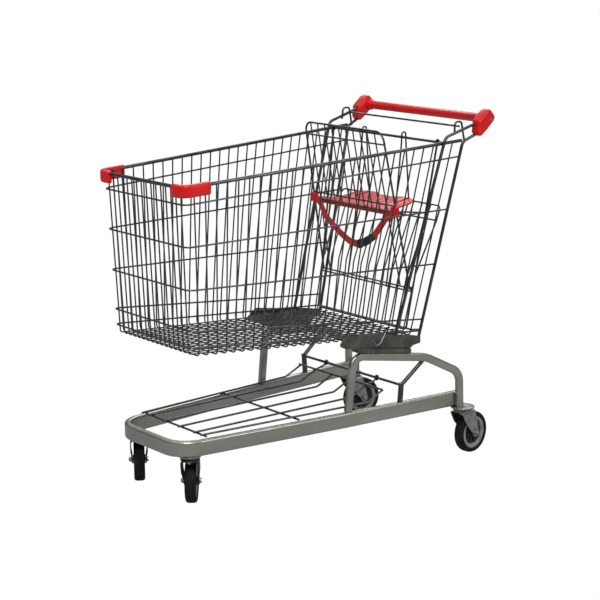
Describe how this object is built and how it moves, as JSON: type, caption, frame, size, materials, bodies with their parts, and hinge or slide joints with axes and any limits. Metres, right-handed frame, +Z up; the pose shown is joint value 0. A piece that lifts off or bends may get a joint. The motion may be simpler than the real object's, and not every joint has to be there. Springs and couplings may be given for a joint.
{
  "type": "shopping cart",
  "caption": "Nesting shopping cart: tapered wire basket on a tube chassis with swivel casters, hinged rear gate with folding child seat, push handle and lower rack.",
  "frame": {"origin": "on the floor, under the middle of the cart's length and width", "axes": "+X towards the basket's nose (the way the cart is pushed), +Y towards the cart's left, +Z up"},
  "size_m": [1.07, 0.588, 1.0341],
  "materials": {
    "chrome_wire": "dark bright-plated wire",
    "steel_tube": "bright zinc-plated tube",
    "saddle_steel": "dull passivated sheet steel",
    "red_plastic": "gloss",
    "red_belt": "woven webbing",
    "black_plastic": "satin",
    "zinc_steel": "zinc-plated pressed steel",
    "dark_steel": "dark zinc plate",
    "tyre": "matte rubber",
    "hub_grey": "grey plastic",
    "bolt_steel": "zinc-plated"
  },
  "bodies": {
    "root": {"basket_rim": "chrome_wire", "left_wall": "chrome_wire", "right_wall": "chrome_wire", "front_wall": "chrome_wire", "basket_floor": "chrome_wire", "rear_cross_wire": "chrome_wire", "left_bumper": "red_plastic", "right_bumper": "red_plastic", "left_handle_arm": "chrome_wire", "right_handle_arm": "chrome_wire", "handle_tube": "steel_tube", "handle_sleeve": "red_plastic", "left_end_cap": "red_plastic", "right_end_cap": "red_plastic", "end_cap_screws": "bolt_steel", "brace_rod": "chrome_wire", "brace_loops": "chrome_wire", "gate_rod": "chrome_wire", "chassis_tube": "steel_tube", "chassis_plugs": "black_plastic", "left_arch": "steel_tube", "right_arch": "steel_tube", "left_saddle": "saddle_steel", "right_saddle": "saddle_steel", "saddle_hooks": "bolt_steel", "rack_rod": "chrome_wire", "rack_posts": "chrome_wire", "rear_caster_housings": "zinc_steel", "front_caster_housings": "zinc_steel", "king_bolts": "bolt_steel"},
    "gate": {"gate_grid": "chrome_wire", "gate_hairpins": "chrome_wire", "leg_guard": "chrome_wire", "gate_clips": "chrome_wire"},
    "seat_back": {"seat_back_grid": "chrome_wire", "seat_rods": "chrome_wire", "belt_anchors": "red_plastic", "right_strap": "red_belt", "left_strap": "red_belt", "buckle_body": "black_plastic", "buckle_tongue": "black_plastic"},
    "seat": {"seat_plate": "red_plastic"},
    "rack": {"rack_grid": "chrome_wire", "rack_eyes": "chrome_wire"},
    "rear_left_caster": {"rear_left_fork": "zinc_steel", "rear_left_axle": "bolt_steel"},
    "rear_left_wheel": {"rear_left_tyre": "tyre", "rear_left_hub": "hub_grey"},
    "rear_right_caster": {"rear_right_fork": "zinc_steel", "rear_right_axle": "bolt_steel"},
    "rear_right_wheel": {"rear_right_tyre": "tyre", "rear_right_hub": "hub_grey"},
    "front_left_caster": {"front_left_fork": "dark_steel", "front_left_axle": "bolt_steel"},
    "front_left_wheel": {"front_left_tyre": "tyre", "front_left_hub": "hub_grey"},
    "front_right_caster": {"front_right_fork": "dark_steel", "front_right_axle": "bolt_steel"},
    "front_right_wheel": {"front_right_tyre": "tyre", "front_right_hub": "hub_grey"}
  },
  "joints": [
    {"name": "gate_hinge", "type": "hinge", "parent": "root", "child": "gate", "pos_m": [-0.34213, 0, 0.947], "axis": [0, -1, 0], "range_deg": [0, 75]},
    {"name": "seat_fold", "type": "hinge", "parent": "gate", "child": "seat_back", "pos_m": [-0.27113, 0, 0.522], "axis": [0, -1, 0], "range_deg": [0, 11.5]},
    {"name": "seat_flap", "type": "hinge", "parent": "seat_back", "child": "seat", "pos_m": [-0.24425, 0, 0.741], "axis": [0, -1, 0], "range_deg": [-90, 0]},
    {"name": "rack_hinge", "type": "hinge", "parent": "root", "child": "rack", "pos_m": [-0.21413, 0, 0.246], "axis": [0, -1, 0], "range_deg": [0, 18]},
    {"name": "rear_left_swivel", "type": "hinge", "parent": "root", "child": "rear_left_caster", "pos_m": [-0.43213, 0.258, 0.1], "axis": [0, 0, 1], "continuous": true},
    {"name": "rear_left_roll", "type": "hinge", "parent": "rear_left_caster", "child": "rear_left_wheel", "pos_m": [-0.47179, 0.25278, 0.0625], "axis": [-0.1305, 0.9914, 0], "continuous": true},
    {"name": "rear_right_swivel", "type": "hinge", "parent": "root", "child": "rear_right_caster", "pos_m": [-0.43213, -0.258, 0.1], "axis": [0, 0, 1], "continuous": true},
    {"name": "rear_right_roll", "type": "hinge", "parent": "rear_right_caster", "child": "rear_right_wheel", "pos_m": [-0.47179, -0.25278, 0.0625], "axis": [0.1305, 0.9914, 0], "continuous": true},
    {"name": "front_left_swivel", "type": "hinge", "parent": "root", "child": "front_left_caster", "pos_m": [0.47087, 0.126, 0.1], "axis": [0, 0, 1], "continuous": true},
    {"name": "front_left_roll", "type": "hinge", "parent": "front_left_caster", "child": "front_left_wheel", "pos_m": [0.44516, 0.09536, 0.0625], "axis": [-0.766, 0.6428, 0], "continuous": true},
    {"name": "front_right_swivel", "type": "hinge", "parent": "root", "child": "front_right_caster", "pos_m": [0.47087, -0.126, 0.1], "axis": [0, 0, 1], "continuous": true},
    {"name": "front_right_roll", "type": "hinge", "parent": "front_right_caster", "child": "front_right_wheel", "pos_m": [0.44908, -0.15955, 0.0625], "axis": [-0.8387, 0.5446, 0], "continuous": true}
  ],
  "couplings": [
    {"joint": "seat_flap", "follows": "seat_fold", "ratio": -7.78}
  ]
}
